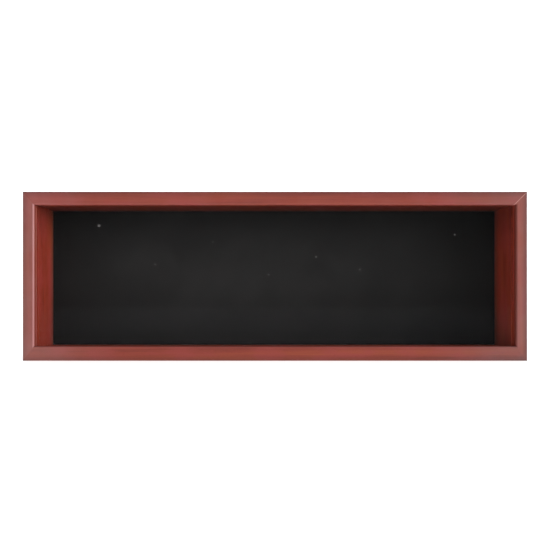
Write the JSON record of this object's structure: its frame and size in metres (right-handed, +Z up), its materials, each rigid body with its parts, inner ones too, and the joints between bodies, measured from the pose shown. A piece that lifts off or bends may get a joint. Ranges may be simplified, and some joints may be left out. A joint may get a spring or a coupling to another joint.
{
  "type": "jersey display frame",
  "caption": "Long, low wooden shadow-box display case with a felt back and a glazed door frame hinged along its top edge, hung on keyhole plates or stood on its base.",
  "frame": {"origin": "middle of the underside of the case, halfway between the front of the door and the back edges", "axes": "+X along the length, to the right as seen from the front; -Y out of the front of the door; +Z up"},
  "size_m": [0.914, 0.095, 0.307],
  "materials": {
    "wood": "semi-gloss reddish mahogany lacquer over straight grain",
    "biscuit": "raw pressed beech",
    "felt": "matt black felt",
    "board": "matt foam-cored board",
    "panel": "smooth brown hardboard",
    "clear": "clear polished acrylic",
    "brass": "brushed, light lacquer",
    "steel": "zinc plated",
    "magnet": "bright nickel plate",
    "bumper": "clear soft polyurethane"
  },
  "bodies": {
    "case": {"case_top": "wood", "case_bottom": "wood", "case_left": "wood", "case_right": "wood", "case_corner_biscuits": "biscuit", "felt_lining": "felt", "felt_board": "board", "back_panel": "panel", "retainer_points": "steel", "hanger_plate_left": "brass", "hanger_plate_right": "brass", "hanger_screws": "steel", "case_magnets": "magnet", "door_bumpers": "bumper", "hinge_case_leaf": "brass", "hinge_pin": "steel", "hinge_case_screws": "brass"},
    "door": {"door_top_rail": "wood", "door_bottom_rail": "wood", "door_left_stile": "wood", "door_right_stile": "wood", "door_corner_nails": "steel", "clear_pane": "clear", "bead_top": "wood", "bead_bottom": "wood", "bead_left": "wood", "bead_right": "wood", "bead_brads": "steel", "strike_plates": "steel", "strike_screws": "steel", "hinge_door_leaf": "brass", "hinge_door_screws": "brass"}
  },
  "joints": [
    {"name": "door_hinge", "type": "hinge", "parent": "case", "child": "door", "pos_m": [0, -0.033, 0.3042], "axis": [-1, 0, 0], "range_deg": [0, 100]}
  ]
}
